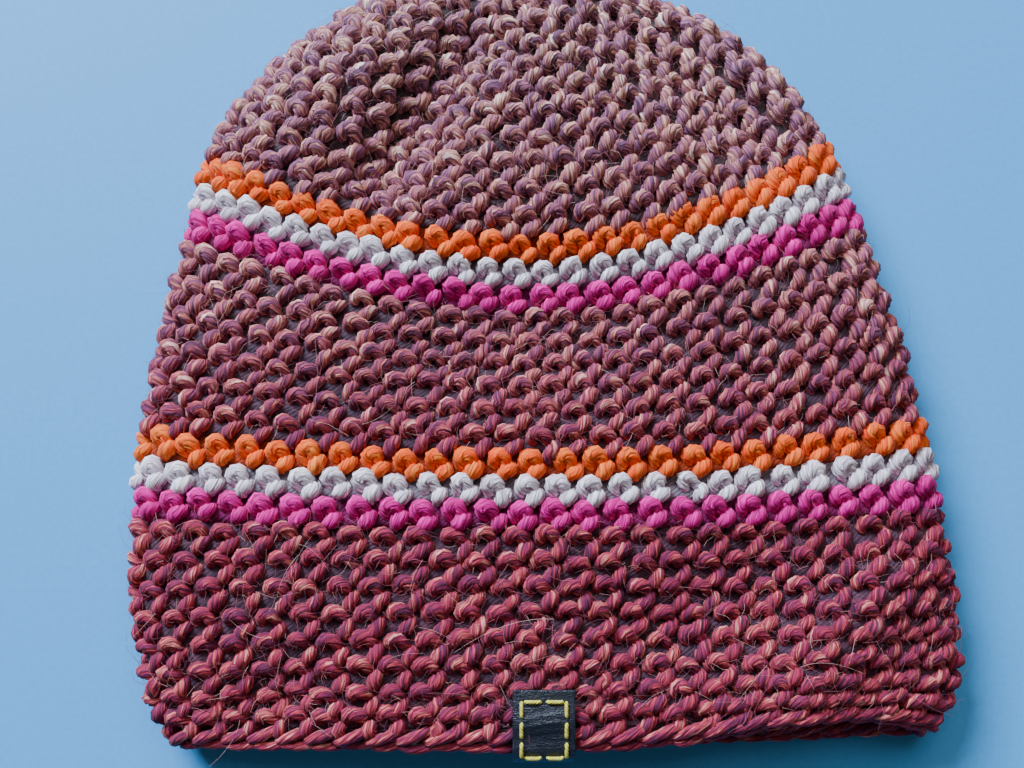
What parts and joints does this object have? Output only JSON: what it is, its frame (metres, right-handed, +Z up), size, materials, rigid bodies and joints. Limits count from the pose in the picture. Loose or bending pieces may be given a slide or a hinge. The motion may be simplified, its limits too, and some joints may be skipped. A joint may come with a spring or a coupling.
{
  "type": "crocheted beanie hat",
  "caption": "Close-fitting crocheted beanie lying flat on its back, in heather wool with striped bands and a small folded leather label at the hem.",
  "frame": {"origin": "on the surface the hat lies on, under the middle of its box", "axes": "+Z up out of the surface, +Y from the hem towards the crown, +X to the right seen from above"},
  "size_m": [0.2404, 0.238, 0.0344],
  "materials": {
    "heather_wool": "crocheted wool, plied from burgundy, coral and mauve strands",
    "orange_wool": "crocheted wool",
    "cream_wool": "crocheted wool",
    "magenta_wool": "crocheted wool",
    "black_leather": "smooth, slightly glossy"
  },
  "bodies": {
    "root": {"crown": "heather_wool", "middle_band": "heather_wool", "brim_band": "heather_wool", "edging": "heather_wool", "upper_orange_round": "orange_wool", "lower_orange_round": "orange_wool", "upper_cream_round": "cream_wool", "lower_cream_round": "cream_wool", "upper_magenta_round": "magenta_wool", "lower_magenta_round": "magenta_wool", "label": "black_leather"}
  },
  "joints": []
}
